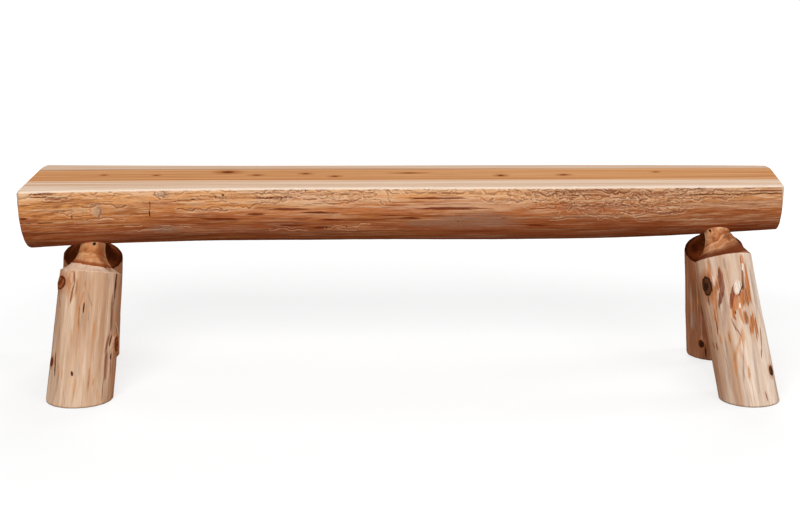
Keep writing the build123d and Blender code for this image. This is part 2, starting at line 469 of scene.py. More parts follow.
def seatRelief(form):
    # how far the skin stands out from the plain rings, and what the finish has to know about it
    log, x, down, skin = halfLog, form["x"], form["down"], form["skin"]
    rng = np.random.default_rng(11)
    backDown = form["around"][:, -1:] - down
    rim = float(form["around"].mean())
    isSide = skin > 0

    wander = 0.55 * softNoise(x * 2.2, down * 9, 0.0, 5)
    dent = facetDent(down / log["facetWidth"] + wander, log["facetDepth"])
    swell = log["unevenness"] * softNoise(x * 5, down * 14, 3.0, 6)
    fibre = log["fibreDepth"] * softNoise(x * 60, down * 500, 0.0, 7)
    lift = (dent + swell + fibre) * ease(0.001, 0.012, down) * ease(0.001, 0.012, backDown) * skin

    tracks = beetleTracks(rng, log["trackZones"])
    backZones = [(a, b, rim - d, rim - c, count) for a, b, c, d, count in log["backZones"]]
    backTracks = beetleTracks(rng, backZones)
    cut, track = trackDepths(tracks + loopTracks() + backTracks, x, np.where(isSide, down, 9.0))
    broken = ease(-0.35, 0.15, softNoise(x * 45, down * 45, 0.0, 8))  # bark patches keep tracks shallow
    lift -= cut * (0.45 + 0.55 * broken)
    lift += log["lipRise"] * ridge(track, 2.3, 0.7) * skin

    # finer creases between the tracks, along the level lines of a warped noise
    warpX = x + 0.005 * softNoise(x * 60, down * 60, 0.0, 13)
    warpDown = down + 0.0025 * softNoise(x * 70, down * 90, 0.0, 14)
    crease = softNoise(warpX * 85, warpDown * 210, 0.0, 15)
    crease = crease + 0.45 * softNoise(warpX * 190, warpDown * 420, 0.0, 16)
    gnawed = gnawedShare(log["gnawed"], x, down)
    gnawed = np.maximum(gnawed, gnawedShare(log["backGnawed"], x, rim - down)) * isSide
    lift -= log["creaseDepth"] * ridge(crease, 0, 0.2) * gnawed * skin

    crack = np.zeros_like(x)
    for holeX, holeDown, radius in log["holes"]:
        near = np.hypot(x - holeX, down - holeDown) / radius
        lift -= log["holeDepth"] * ease(1.5, 0.5, near)
        crack = np.maximum(crack, ease(1.6, 0.7, near))
    for line in log["cracks"]:
        near = crackDistance(line, x, down)
        lift -= line[5] * ease(1.0, 0.0, near / 1.8) * isSide
        crack = np.maximum(crack, ease(1.0, 0.0, near / 2.2) * isSide)

    # where the wood is paler along the arrises and round both ends: partly pale sapwood, partly a painted
    # highlight where the eased edges catch the light
    edge = ease(0.0075, 0.001, down) + ease(0.0075, 0.001, backDown)
    edge = np.clip(edge * isSide + np.where(np.arange(x.shape[1]) >= form["rows"], 1, 0), 0, 1)
    edge[:, form["rows"] + 3 : -3] = 0
    edge = np.maximum(edge, ease(0.3, 1.0, form["inward"] / log["easing"]))
    return lift, dict(skin=skin, track=track, crack=crack, edge=edge, crease=crease, gnawed=gnawed)


def buildSeat():
    log, form = halfLog, seatForm()
    lift, values = seatRelief(form)
    columns, skew, reach = form["columns"], form["skew"], log["length"] / 2
    sideY = np.roll(form["y"], -1, 1) - np.roll(form["y"], 1, 1)
    sideZ = np.roll(form["z"], -1, 1) - np.roll(form["z"], 1, 1)
    out = (lift - form["inward"]) / np.hypot(sideY, sideZ)
    y = form["y"] + sideZ * out
    z = np.minimum(form["z"] - sideY * out, log["height"])
    away = np.minimum(y.max(1, keepdims=True) - y, y - y.min(1, keepdims=True) + 0.01)
    rounded = log["cornerSoftness"] * ease(0.022, 0.0, away)
    rounded = rounded * ease(reach - log["cornerReach"], reach, np.abs(columns))
    rings = np.stack([columns - np.sign(columns) * rounded + y * skew, y, z], 2)

    caps = []
    for ring, end in ((rings[0], -reach), (rings[-1], reach)):
        heart = np.array([0, ring[:, 1].mean(), log["height"] - log["capHeart"]])
        cap = np.stack([heart + (ring - heart) * share for share in log["capShares"]])
        cap[..., 0] = end + cap[..., 1] * skew
        caps.append(cap)
    rings = np.concatenate([caps[0][::-1], rings, caps[1]])
    blank = np.zeros(caps[0].shape[:2])
    values = {key: np.concatenate([blank, value, blank]) for key, value in values.items()}
    x = rings[..., 0]
    down = np.concatenate([blank + form["down"][0], form["down"], blank + form["down"][-1]])
    values["grain"] = np.stack([x, rings[..., 1] - logMiddle(x) - log["pith"][0],
                                rings[..., 2] - log["height"] - log["pith"][1]], 2)
    values["bark"] = np.stack([x, down, np.zeros_like(down)], 2)
    values["endGrain"] = np.concatenate([blank + 1, np.zeros_like(form["x"]), blank + 1])
    return skinRings("half_log_seat", rings, values)


logFinish = dict(
    heartRadius=0.070,  # heartwood out to here from the pith
    underStart=0.14,  # the underside's tone starts this far down
    # tones from dark to light for heartwood and sapwood, and from the front edge down for the bark side,
    # darker downwards partly in the bark's own red-brown and partly as painted shade of the underside
    heart=[(192, 124, 76), (218, 158, 106), (234, 184, 136)],
    sap=[(218, 177, 145), (234, 204, 177), (245, 225, 205)],
    under=[(228, 182, 138), (216, 154, 102), (196, 122, 74), (169, 92, 52), (146, 70, 35)],
    sapShade=(190, 150, 120),
    heartRim=(146, 84, 46),
    heartLine=(146, 76, 34),
    sapLine=(190, 144, 110),
    fleck=(160, 92, 50),
    pinHalo=(160, 84, 36),
    pin=(96, 42, 18),
    honey=(226, 152, 84),
    beige=(196, 142, 112),
    underLight=(228, 186, 148),
    underDark=(124, 56, 26),
    fibreDark=(112, 50, 24),
    streak=(110, 42, 18),
    grey=(158, 116, 92),
    # painted shade for the floors of tracks and creases; the pale tone serves healed scars and painted
    # highlights on the lips of tracks and creases
    trackFloorShade=(120, 66, 38),
    paleScarAndLipHighlight=(232, 196, 162),
    # pale arrises and end edges: partly pale sapwood, partly a painted highlight
    edge=(240, 218, 198),
    crack=(50, 22, 10),
    endHeart=(206, 136, 82),
    endSap=(234, 190, 150),
    endRing=(172, 100, 56),
    ray=(238, 202, 166),
    sawMark=(186, 122, 76),
    split=(72, 36, 18),
    splitBend=0.003,
    # red-brown streaks: x, down from the front edge, half length, half height
    streaks=[
        (-0.256, 0.02, 0.034, 0.0022), (-0.228, 0.044, 0.045, 0.0028), (-0.369, 0.068, 0.045, 0.0036),
        (-0.295, 0.056, 0.02, 0.003), (-0.167, 0.052, 0.032, 0.0028), (-0.144, 0.07, 0.022, 0.0026),
        (-0.163, 0.093, 0.024, 0.003), (-0.224, 0.086, 0.022, 0.0026), (0.067, 0.022, 0.06, 0.0022),
        (0.089, 0.044, 0.072, 0.0036), (0.012, 0.067, 0.022, 0.0026), (0.115, 0.061, 0.01, 0.0022),
        (0.203, 0.068, 0.008, 0.0022), (0.269, 0.09, 0.022, 0.0026), (-0.715, 0.006, 0.024, 0.0016),
        (-0.711, 0.013, 0.026, 0.0018), (-0.755, 0.06, 0.008, 0.004), (0.69, 0.005, 0.01, 0.0014),
        (0.724, 0.011, 0.03, 0.002), (0.1, 0.33, 0.08, 0.004), (-0.35, 0.36, 0.06, 0.0034),
        (0.48, 0.3, 0.07, 0.0044), (-0.4865, 0.011, 0.001, 0.006), (-0.48, 0.01, 0.001, 0.005),
    ],
    # pale healed scars and grey weathered patches, the same way
    scars=[(-0.483, 0.011, 0.009, 0.008), (-0.612, 0.046, 0.008, 0.013), (-0.412, 0.032, 0.02, 0.003)],
    weathered=[
        (0.145, 0.076, 0.09, 0.024), (0.05, 0.082, 0.05, 0.012), (-0.48, 0.096, 0.028, 0.013),
        (-0.476, 0.011, 0.012, 0.009), (-0.607, 0.044, 0.01, 0.018), (0.25, 0.34, 0.12, 0.024),
    ],
    # drying cracks in the sawn ends: end, degrees below level, from and to out from the pith, half width
    splits=[
        (-1, 38, 0.006, 0.052, 0.0011), (-1, 74, 0.004, 0.09, 0.0013), (-1, 101, 0.03, 0.066, 0.0008),
        (-1, 128, 0.008, 0.06, 0.001), (-1, 152, 0.02, 0.1, 0.0009), (1, 22, 0.01, 0.07, 0.001),
        (1, 63, 0.04, 0.092, 0.0009), (1, 92, 0.004, 0.058, 0.0012), (1, 117, 0.012, 0.084, 0.0011),
        (1, 160, 0.006, 0.046, 0.0009),
    ],
    # small knots on the flat top: x, y from the pith, half length, half width
    pins=[
        (-0.363, 0.035, 0.011, 0.014), (-0.301, 0.001, 0.007, 0.007), (-0.201, 0.015, 0.006, 0.007),
        (-0.14, -0.015, 0.006, 0.007), (0.013, 0.019, 0.016, 0.006), (0.2, -0.01, 0.006, 0.009),
        (0.329, -0.005, 0.006, 0.008), (-0.507, 0.004, 0.004, 0.005), (-0.615, 0.01, 0.004, 0.005),
        (0.52, 0.025, 0.004, 0.005),
    ],
)


def logTop(n, grain, y, rings, fine, warped, isSap):
    # orange heartwood in the middle of the flat top, pale sapwood to both edges
    look, rim = logFinish, logFinish["heartRadius"]
    broad = n.noise(rings, (0.8, 110, 6), 2)
    flecks = n.noise(grain, (7, 260, 260), 3, 0.6)
    places = [0.32, 0.50, 0.66]
    sapwood = n.paint(n.ramp(broad, places, look["sap"]), (look["sapShade"], y, 0.0, 0.08, 0.3))
    top = n.mix(isSap, n.ramp(broad, places, look["heart"]), sapwood)
    darkRing = n.band(warped, rim - 0.001, rim + 0.001, rim + 0.002, rim + 0.005)
    top = n.mix(n.times(darkRing, n.step(y, -0.02, 0.02, 0.1, 0.7)), top, look["heartRim"])
    ovals = []
    for pinX, pinY, length, width in look["pins"]:
        ovals.append(n.oval(grain, (pinX, pinY, -0.004), (1.3 * length, 0.8 * width, 0.02)))
    pins = n.nudge(n.nearest(ovals), n.sway(grain, (60, 160, 160), 2), 0.9)
    return n.paint(
        top,
        (n.mix(isSap, look["heartLine"], look["sapLine"]), fine, 0.50, 0.62, 0.42),
        (look["fleck"], flecks, 0.60, 0.74, 0.4),
        (look["pinHalo"], pins, 3.0, 0.9, 0.6),
        (look["pin"], pins, 1.15, 0.5, 0.9),
    )


def logSide(n, grain, bark, x, z, fine, blotches):
    # orange under the edge, red-brown below, with the grain along the log; the darkening downwards is partly
    # painted shade of the underside
    look = logFinish
    bands = n.noise(grain, (3.2, 56, 56), 3, 0.6)
    streaks = n.noise(grain, (9, 250, 250), 4, 0.65)
    slits = n.noise(grain, (8, 430, 430), 2, 0.5)
    patches = n.noise(grain, (5, 32, 32), 3, 0.6)
    height = n.nudge(z, n.sway(grain, (4, 14, 14)), 0.06)
    down = n.add("MapRange", {"Value": height, "From Min": 0.0, "From Max": -look["underStart"]}).outputs[0]
    high = n.step(down, 0.75, 0.15, 0.30, 1.0)  # pale streaks thin out towards the underside
    honey = n.times(n.step(patches, 0.50, 0.58), n.step(x, 0.25, -0.1, 0.15, 0.5))
    # darker towards the underside: the bark's own red-brown and painted shade together
    side = n.ramp(down, [0.02, 0.18, 0.38, 0.64, 1.0], look["under"])
    side = n.mix(n.times(honey, high), side, look["honey"])
    side = n.mix(n.times(n.step(patches, 0.45, 0.37, 0, 0.5), high), side, look["beige"])
    side = n.mix(n.times(n.step(bands, 0.54, 0.62, 0, 0.50), high), side, look["underLight"])
    dark = look["underDark"]
    side = n.paint(
        side,
        (dark, bands, 0.44, 0.37, 0.45),
        (dark, streaks, 0.55, 0.61, 0.55),
        (dark, x, 0.15, 0.40, 0.27),
    )
    side = n.mix(n.times(n.step(streaks, 0.45, 0.39, 0, 0.72), high), side, look["underLight"])

    feather = n.sway(bark, (16, 480, 0), 4, 0.65)

    def spots(places, frayed):
        ovals = [n.oval(bark, (x, d, 0), (length, width, 1)) for x, d, length, width in places]
        return n.nudge(n.nearest(ovals), feather, frayed)

    side = n.paint(
        side,
        (look["fibreDark"], fine, 0.56, 0.64, 0.55),
        (look["streak"], slits, 0.66, 0.70, 0.8),
        (look["streak"], spots(look["streaks"], 3.0), 1.05, 0.80, 0.9),
    )
    mottled = n.step(blotches, 0.40, 0.62, 0.45, 0.85)
    weathered = n.step(spots(look["weathered"], 1.6), 1.3, 0.5)
    side = n.mix(n.times(mottled, weathered), side, look["grey"])
    return n.paint(side, (look["paleScarAndLipHighlight"], spots(look["scars"], 0.8), 1.25, 0.65, 0.30))


def logTracks(n, side, bark, chewed, offLine, gnawed):
    # beetle tracks and the creases between them: painted shade on the floor and a painted highlight on the
    # lip, stronger and weaker by turns
    dark, pale = logFinish["trackFloorShade"], logFinish["paleScarAndLipHighlight"]
    worn = n.step(n.noise(bark, (30, 70, 0), 3, 0.6), 0.40, 0.60, 0.25, 1.0)
    side = n.mix(n.times(n.band(chewed, 1.4, 2.0, 2.4, 3.6), n.times(worn, 0.42)), side, pale)
    side = n.mix(n.times(n.step(chewed, 1.5, 0.6, 0, 0.50), worn), side, dark)
    # the same painted highlight and painted shade along the creases
    side = n.mix(n.times(n.band(offLine, 0.22, 0.34, 0.42, 0.60), n.times(gnawed, 0.35)), side, pale)
    side = n.mix(n.times(n.step(offLine, 0.24, 0.08), n.times(gnawed, 0.42)), side, dark)
    return n.paint(side, (logFinish["crack"], n.attribute("crack"), 0.25, 0.8, 1.0))


def logEnds(n, grain, x, y, z, rings, warped, isSap):
    # sawn ends: rings, rays, saw marks and drying cracks
    look = logFinish
    endRings = n.step(n.noise(rings, (0.0, 430, 4), 2), 0.40, 0.62)
    ends = n.mix(n.times(endRings, 0.50), n.mix(isSap, look["endHeart"], look["endSap"]), look["endRing"])
    rays = n.noise(n.join(n.times(n.math("ARCTAN2", y, z), 26.0), warped, x), (1, 14, 1), 2)
    sawMarks = n.noise(grain, (0, 60, 900), 2)
    wobble = n.add("TexNoise", {"Vector": grain, "Scale": 90.0, "Detail": 2.0}).outputs["Color"]
    bend = look["splitBend"]
    sockets = {0: wobble, 1: (bend, bend, bend), 2: grain}
    wobbled = n.add("VectorMath", sockets, operation="MULTIPLY_ADD").outputs[0]
    ovals = []
    for end, degrees, inner, outer, halfWidth in look["splits"]:
        turn, middle = math.radians(degrees), (inner + outer) / 2
        splitY, splitZ = middle * math.cos(turn) + bend / 2, bend / 2 - middle * math.sin(turn)
        place, half = (end * halfLog["length"] / 2, splitY, splitZ), (0.2, (outer - inner) / 2, halfWidth)
        ovals.append(n.oval(wobbled, place, half, (-turn, 0, 0)))
    return n.paint(
        ends,
        (look["ray"], rays, 0.56, 0.70, 0.35),
        (look["sawMark"], sawMarks, 0.5, 0.75, 0.25),
        (look["split"], n.nearest(ovals), 1.1, 0.7, 0.9),
    )


def logWood():
    material, n, shader = newFinish("oiled_half_log")
    grain, bark = n.attribute("grain", "Vector"), n.attribute("bark", "Vector")
    x, y, z = n.split(grain)
    skin, gnawed = n.attribute("skin"), n.attribute("gnawed")
    rim = logFinish["heartRadius"]

    # growth rings round the pith, which run straight along the flat top
    warped = n.nudge(n.length(n.join(0.0, y, z)), n.noise(grain, (1.6, 16, 16)), 0.012)
    rings = n.join(x, warped, n.times(y, 0.35))
    fine = n.noise(rings, (3.0, 620, 20), 2)
    softness = n.step(y, -0.02, 0.02, 0.016, 0.002)
    ragged = n.nudge(warped, n.minus(fine, 0.5), softness)
    isSap = n.step(ragged, n.minus(rim, softness), n.nudge(rim, softness, 0.5))

    sideFine = n.noise(grain, (26, 600, 600), 3, 0.65)
    blotches = n.noise(grain, (150, 200, 200), 2)
    chewed = n.nudge(n.attribute("track"), n.minus(blotches, 0.5), 1.2)
    offLine = n.math("ABSOLUTE", n.attribute("crease"))
    side = logSide(n, grain, bark, x, z, sideFine, blotches)
    side = logTracks(n, side, bark, chewed, offLine, gnawed)
    colour = n.mix(skin, logTop(n, grain, y, rings, fine, warped, isSap), side)
    colour = n.mix(n.attribute("endGrain"), colour, logEnds(n, grain, x, y, z, rings, warped, isSap))
    # the pale arrises and end edges, partly a painted highlight
    edge = n.nudge(n.attribute("edge"), n.sway(grain, (60, 160, 160), 2), 0.8)
    colour = n.paint(colour, (logFinish["edge"], edge, 0.35, 0.9, 0.85))

    pores = n.noise(grain, (22, 900, 900), 2)
    height = n.nudge(n.times(fine, 0.35), pores, 0.35)
    height = n.nudge(height, n.times(sideFine, skin), 1.1)
    height = n.nudge(height, n.step(chewed, 0.6, 1.8), 1.6)
    height = n.minus(height, n.times(n.step(offLine, 0.24, 0.08), gnawed))
    finishWood(n, shader, colour, n.step(sideFine, 0.3, 0.7, 0.42, 0.58), height)
    return material


settle(buildSeat(), "seat_half_log", logWood())


print("legs")

poleLegs = dict(
    tenonDiameter=0.0508,
    tenonLength=0.050,
    tenonChamfer=0.003,
    mortiseSpacing=0.096,
    acrossSplay=21.3,  # degrees
    shoulderRadius=0.058,
    hollowReach=0.052,  # marks less far below the neck lie in the hollow
    pitReach=0.054,  # dark marks that end less far below the seat show in the cut wood
    usualLength=0.34,
    rimEasing=0.0018,
    footEasing=0.0035,
    chatter=0.00013,  # ridges that the cutter's edge leaves round the hollow
    turns=240,  # points round a leg
    hollowRows=36,
    bodyRows=160,
    facetWidth=0.021,
    facetDepth=0.0007,
    unevenness=0.0015,
    ripple=0.00028,
    knotDip=0.0012,
    knotGroove=0.0008,
    flakeGroove=0.0006,
    # what a mark does to the wood: tone, strength, how frayed and how soft its edge is, and its depth
    marks=dict(
        # tan: tan patches, and on the front legs broad painted shade down the inner sides facing under the
        # seat
        tan=((184, 122, 82), 0.80, 0.8, 0.9, 0.0),
        grey=((158, 134, 120), 0.60, 1.2, 0.7, 0.0),
        orange=((190, 110, 54), 0.90, 1.5, 0.5, 0.0003),
        amber=((200, 134, 84), 0.80, 1.3, 0.7, 0.0),
        purple=((128, 66, 42), 0.92, 1.0, 0.25, 0.0008),
        brown=((140, 76, 44), 0.85, 1.1, 0.45, 0.0005),
        pale=((230, 194, 162), 0.85, 0.9, 0.4, -0.0007),
        # cream: raised pale nodules and flecks, their cream partly a painted highlight
        creamAndHighlight=((244, 223, 202), 0.95, 0.6, 0.2, -0.0016),
        dark=((74, 30, 16), 0.97, 0.7, 0.2, 0.0016),
    ),
    streakDark=(146, 84, 48),
    streakLight=(244, 226, 210),
    warm=(200, 134, 84),
    cool=(160, 138, 126),
    fibre=(140, 88, 56),
    knotHalo=(168, 98, 54),
    knotFibre=(38, 18, 10),
    foot=(134, 84, 52),
    sapFibre=(170, 118, 80),
    pit=(58, 22, 10),
    sawn=[(150, 96, 60), (206, 162, 124)],
)

usualLeg = dict(
    heartLean=0.0,  # of the heartwood in the cut shoulder
    band=0.010,  # dark round the heart
    flatFront=0.0,  # added to the shoulder's radius in front
    cone=(0, 0.0),  # degrees round and share of a plain cone in the shoulder
    fuller=0.0,  # pole's right side
    # how much the body is painted paler towards +x and darker towards -x: painted light and shade across the
    # pole
    paintedLightAlongX=0.0,
    stainsAndShade=[],
)

# End -1 is the log's butt, side -1 the front. Splay and the screw's place round the neck are in degrees.
# Knots: below the seat, degrees round, half width, half length, how proud.
# Marks and stains: below and degrees round at both ends, half width. Some stains are painted shade.
frontLeft = dict(
    usualLeg, name="leg_front_left", end=-1, side=-1, seed=21,
    inset=0.129, neck=0.0035, endSplay=4.3, shoulder=0.121, foot=0.131, screw=-74,
    pith=(0.001, 0.001), heart=0.044, heartLean=-0.06, band=0.008, flatFront=0.010, fuller=0.0035,
    # painted lighter on the outer side and darker on the inner side
    paintedLightAlongX=-1.2, pale=(218, 186, 158), body=(188, 146, 114), rim=(238, 208, 182),
    cut=[(148, 76, 38), (188, 126, 80), (224, 174, 130)], knotTone=[(84, 36, 18), (150, 82, 44)],
    # a dark stain down the right of the hollow, partly painted shade of the log over the neck
    stainsAndShade=[(0.004, -42, 0.052, -34, 0.0130)], stainAndShadeTone=(134, 66, 30),
    knots=[
        (0.088, -141, 0.014, 0.013, 0.006), (0.202, -11, 0.009, 0.014, 0.004),
        (0.248, -149, 0.006, 0.009, 0.003),
    ],
    marks=dict(
        # the first tan mark, broad down the inner side, is painted shade under the seat; the others are tan
        # patches
        tan=[(0.05, 6, 0.33, 0, 0.03), (0.1, -165, 0.3, -168, 0.012), (0.12, 96, 0.34, 104, 0.022)],
        amber=[
            (0.09, 74, 0.16, 78, 0.0036), (0.18, 118, 0.25, 114, 0.0034), (0.24, 60, 0.3, 62, 0.003),
            (0.066, -118, 0.112, -120, 0.006), (0.07, -112, 0.096, -103, 0.003),
            (0.087, -104, 0.116, -105, 0.0038), (0.105, -106, 0.132, -116, 0.0024),
            (0.085, -89, 0.102, -87, 0.0016), (0.105, -89, 0.13, -93, 0.002), (0.133, -96, 0.16, -95, 0.002),
            (0.155, -95, 0.184, -93, 0.0026), (0.176, -108, 0.212, -105, 0.0014),
            (0.16, -66, 0.205, -64, 0.0018), (0.255, -128, 0.275, -125, 0.0018),
            (0.264, -117, 0.284, -116, 0.002), (0.278, -89, 0.325, -92, 0.002),
            (0.26, -66, 0.3, -67, 0.0022), (0.279, -57, 0.292, -59, 0.0016), (0.298, -49, 0.32, -49, 0.0014),
        ],
        grey=[
            (0.108, -82, 0.13, -74, 0.0016), (0.143, -76, 0.162, -77, 0.001), (0.146, -88, 0.18, -86, 0.002),
            (0.25, -86, 0.276, -85, 0.0012), (0.275, -125, 0.325, -130, 0.003),
            (0.31, -110, 0.333, -106, 0.0011), (0.175, -135, 0.206, -133, 0.0018),
            (0.062, -87, 0.1, -87, 0.0006),
        ],
        brown=[
            (0.108, -33, 0.172, -30, 0.0036), (0.188, -33, 0.222, -39, 0.003),
            (0.222, -35, 0.274, -35, 0.0045), (0.235, -25, 0.266, -22, 0.0014),
            (0.11, -150, 0.14, -138, 0.0012), (0.066, -112, 0.092, -109, 0.0022),
            (0.09, -109, 0.126, -115, 0.0022), (0.062, -25, 0.118, -27, 0.0042),
        ],
        pale=[
            (0.16, -16, 0.184, 9, 0.0026), (0.188, -21, 0.214, -26, 0.0026),
            (0.07, -118, 0.088, -116, 0.0024),
        ],
        dark=[
            (0.058, -151, 0.07, -149, 0.0014), (0.129, -87, 0.146, -87, 0.0014),
            (0.064, -24, 0.102, -27, 0.002), (0.096, -27, 0.126, -27, 0.0011),
            (0.186, -26, 0.209, -30, 0.0017), (0.225, -24, 0.234, -24, 0.0024),
            (0.274, -38, 0.32, -38, 0.001), (0.23, -140, 0.277, -135, 0.002),
            (0.269, -98, 0.274, -97, 0.0028), (0.047, -42, 0.052, -41, 0.003),
            (0.034, -86, 0.0535, -87, 0.0007), (0.13, 88, 0.19, 92, 0.001), (0.21, 132, 0.226, 132, 0.0018),
        ],
    ),
)

frontRight = dict(
    usualLeg, name="leg_front_right", end=1, side=-1, seed=22,
    inset=0.125, neck=0.0035, endSplay=9.9, shoulder=0.110, foot=0.115, screw=-133,
    pith=(-0.002, 0.001), heart=0.0565, band=0.023, fuller=0.0045, cone=(-8, 0.80),
    # painted lighter on the outer side and darker on the inner side
    paintedLightAlongX=2.0, pale=(230, 208, 188), body=(190, 153, 125), rim=(150, 88, 56),
    cut=[(108, 50, 27), (178, 110, 66), (228, 182, 140)], knotTone=[(46, 25, 16), (96, 58, 38)],
    knots=[(0.11, -143, 0.0118, 0.0185, 0.0025), (0.298, -33, 0.0062, 0.0095, 0.003)],
    marks=dict(
        # the first tan mark, broad down the inner side, is painted shade under the seat; the other is a tan
        # patch
        tan=[(0.06, -178, 0.345, -172, 0.024), (0.07, 80, 0.25, 72, 0.02)],
        orange=[
            (0.062, -129, 0.102, -134, 0.004), (0.11, -123, 0.152, -135, 0.006),
            (0.136, -127, 0.178, -138, 0.0044), (0.166, -131, 0.206, -138, 0.0026),
            (0.093, -115, 0.122, -118, 0.0028), (0.08, -110, 0.098, -110, 0.0024),
            (0.062, -55, 0.086, -58, 0.0036), (0.088, -50, 0.13, -55, 0.005),
            (0.119, -53, 0.154, -56, 0.0058), (0.122, -85, 0.174, -97, 0.0036),
            (0.138, -83, 0.172, -94, 0.0065), (0.132, -69, 0.163, -81, 0.009),
            (0.133, -60, 0.156, -63, 0.0064), (0.167, -83, 0.192, -81, 0.0036),
            (0.176, -73, 0.195, -72, 0.0046), (0.182, -54, 0.214, -64, 0.006),
            (0.187, -49, 0.227, -53, 0.0052), (0.212, -134, 0.228, -134, 0.0018),
            (0.282, -14, 0.29, -14, 0.002), (0.175, -98, 0.188, -94, 0.0018),
        ],
        amber=[
            (0.238, -100, 0.262, -108, 0.0028), (0.251, -109, 0.29, -113, 0.0036),
            (0.219, -90, 0.238, -96, 0.0024), (0.284, -86, 0.312, -89, 0.003), (0.11, 60, 0.18, 56, 0.004),
            (0.19, 100, 0.27, 104, 0.004), (0.205, -84, 0.24, -88, 0.004), (0.21, -112, 0.236, -116, 0.003),
        ],
        purple=[
            (0.086, -109, 0.13, -110, 0.006), (0.112, -107, 0.156, -123, 0.0046),
            (0.126, -88, 0.159, -98, 0.0042), (0.224, -158, 0.236, -156, 0.0016),
            (0.225, -148, 0.239, -146, 0.0016),
        ],
        grey=[
            (0.064, -96, 0.08, -97, 0.0026), (0.126, -106, 0.2, -121, 0.004),
            (0.222, -122, 0.318, -133, 0.003), (0.255, -92, 0.305, -100, 0.0018),
            (0.25, -70, 0.34, -74, 0.003), (0.09, -34, 0.18, -38, 0.005),
        ],
        brown=[
            (0.087, -59, 0.13, -65, 0.003), (0.12, -64, 0.141, -81, 0.003), (0.187, -102, 0.21, -97, 0.0016),
            (0.205, -39, 0.25, -47, 0.0016), (0.256, -50, 0.272, -53, 0.0016),
            (0.337, -60, 0.355, -58, 0.0018), (0.16, -136, 0.206, -137, 0.0012),
            (0.204, -96, 0.222, -90, 0.0012),
        ],
        # pale raised nodules in the scar and beside the top knot, partly painted highlights on them
        creamAndHighlight=[
            (0.119, -76, 0.129, -78, 0.0085), (0.08, -56, 0.09, -58, 0.0028),
            (0.094, -125, 0.113, -126, 0.0028), (0.158, -80, 0.165, -81, 0.002),
        ],
        dark=[
            (0.2, 80, 0.27, 82, 0.001), (0.128, -145, 0.147, -148, 0.0018), (0.122, -66, 0.14, -78, 0.0013),
            (0.17, -92, 0.176, -92, 0.0014),
        ],
    ),
)

backLeft = dict(
    usualLeg, name="leg_back_left", end=-1, side=1, seed=23,
    inset=0.117, neck=0.009, endSplay=6.9, shoulder=0.123, foot=0.126, screw=-56,
    # the tones below are darker than the front legs': partly browner wood, partly painted shade of the seat
    # over the back legs
    pith=(0.002, -0.004), heart=0.060, pale=(190, 132, 96), body=(154, 98, 66), rim=(118, 60, 32),
    cut=[(90, 38, 17), (122, 58, 27), (150, 82, 46)], knotTone=[(60, 26, 14), (112, 58, 30)],
    # a broad near-black patch over the bowl: painted shade under the seat
    stainsAndShade=[(0.012, -14, 0.056, -10, 0.0300)], stainAndShadeTone=(54, 16, 5),
    knots=[(0.15, 60, 0.01, 0.015, 0.004), (0.236, 140, 0.008, 0.012, 0.003)],
    marks=dict(
        orange=[
            (0.1, 80, 0.19, 84, 0.004), (0.08, -40, 0.2, -38, 0.003), (0.175, 60, 0.24, 62, 0.004),
            (0.21, 112, 0.29, 108, 0.003),
        ],
        purple=[(0.11, 104, 0.165, 98, 0.005)],
        grey=[(0.12, 130, 0.26, 124, 0.005), (0.2, 30, 0.29, 34, 0.004)],
        brown=[(0.09, 60, 0.138, 60, 0.004), (0.07, 20, 0.15, 24, 0.003)],
        pale=[(0.16, 92, 0.2, 90, 0.004)],
        dark=[(0.07, 150, 0.13, 152, 0.0014), (0.205, 140, 0.222, 140, 0.0018), (0.24, 78, 0.31, 80, 0.001)],
    ),
)

backRight = dict(
    usualLeg, name="leg_back_right", end=1, side=1, seed=24,
    inset=0.119, neck=0.016, endSplay=5.6, shoulder=0.124, foot=0.125, screw=-128,
    # the tones below are darker than the front legs': partly browner wood, partly painted shade of the seat
    # over the back legs
    pith=(-0.003, -0.003), heart=0.060, pale=(180, 122, 88), body=(143, 88, 59), rim=(114, 56, 30),
    cut=[(66, 24, 9), (102, 44, 18), (132, 68, 34)], knotTone=[(34, 18, 12), (86, 46, 26)],
    knots=[(0.278, -125, 0.006, 0.0095, 0.002), (0.13, 75, 0.011, 0.015, 0.004)],
    marks=dict(
        orange=[
            (0.096, -141, 0.116, -141, 0.0022), (0.16, -131, 0.178, -130, 0.0026),
            (0.156, 72, 0.23, 70, 0.0045), (0.1, 110, 0.2, 112, 0.003),
        ],
        purple=[(0.17, 96, 0.225, 90, 0.0045)],
        grey=[
            (0.21, -144, 0.245, -146, 0.005), (0.138, -153, 0.18, -153, 0.003), (0.13, 40, 0.24, 44, 0.005),
        ],
        brown=[
            (0.18, -123, 0.216, -118, 0.0026), (0.2, -119, 0.26, -118, 0.003), (0.08, 74, 0.116, 75, 0.004),
        ],
        pale=[(0.24, 76, 0.27, 78, 0.004)],
        dark=[
            (0.278, -117, 0.312, -116, 0.002), (0.12, -171, 0.142, -171, 0.0014),
            (0.146, 75, 0.166, 75, 0.002), (0.03, -128, 0.038, -128, 0.0034), (0.25, 118, 0.31, 116, 0.0012),
        ],
    ),
)


def legFrame(leg):
    # the mouth of the mortise on the underside, and the leg's own X, Y and Z
    x = leg["end"] * (halfLog["length"] / 2 - leg["inset"])
    fromMiddle = leg["side"] * poleLegs["mortiseSpacing"] / 2 - logMiddle(x)
    y, z = logSkin(x, math.acos(-fromMiddle / logHalfWidth(x)))
    splay, across = math.radians(leg["endSplay"]), math.radians(poleLegs["acrossSplay"])
    up = Vector((-leg["end"] * math.tan(splay), -leg["side"] * math.tan(across), 1)).normalized()
    along = Vector((1, 0, 0))
    along = (along - up * along.dot(up)).normalized()
    return Vector((x, y, z)), along, up.cross(along), up


def poleRadius(leg, length, below):
    return (leg["shoulder"] + (leg["foot"] - leg["shoulder"]) * below / length) / 2


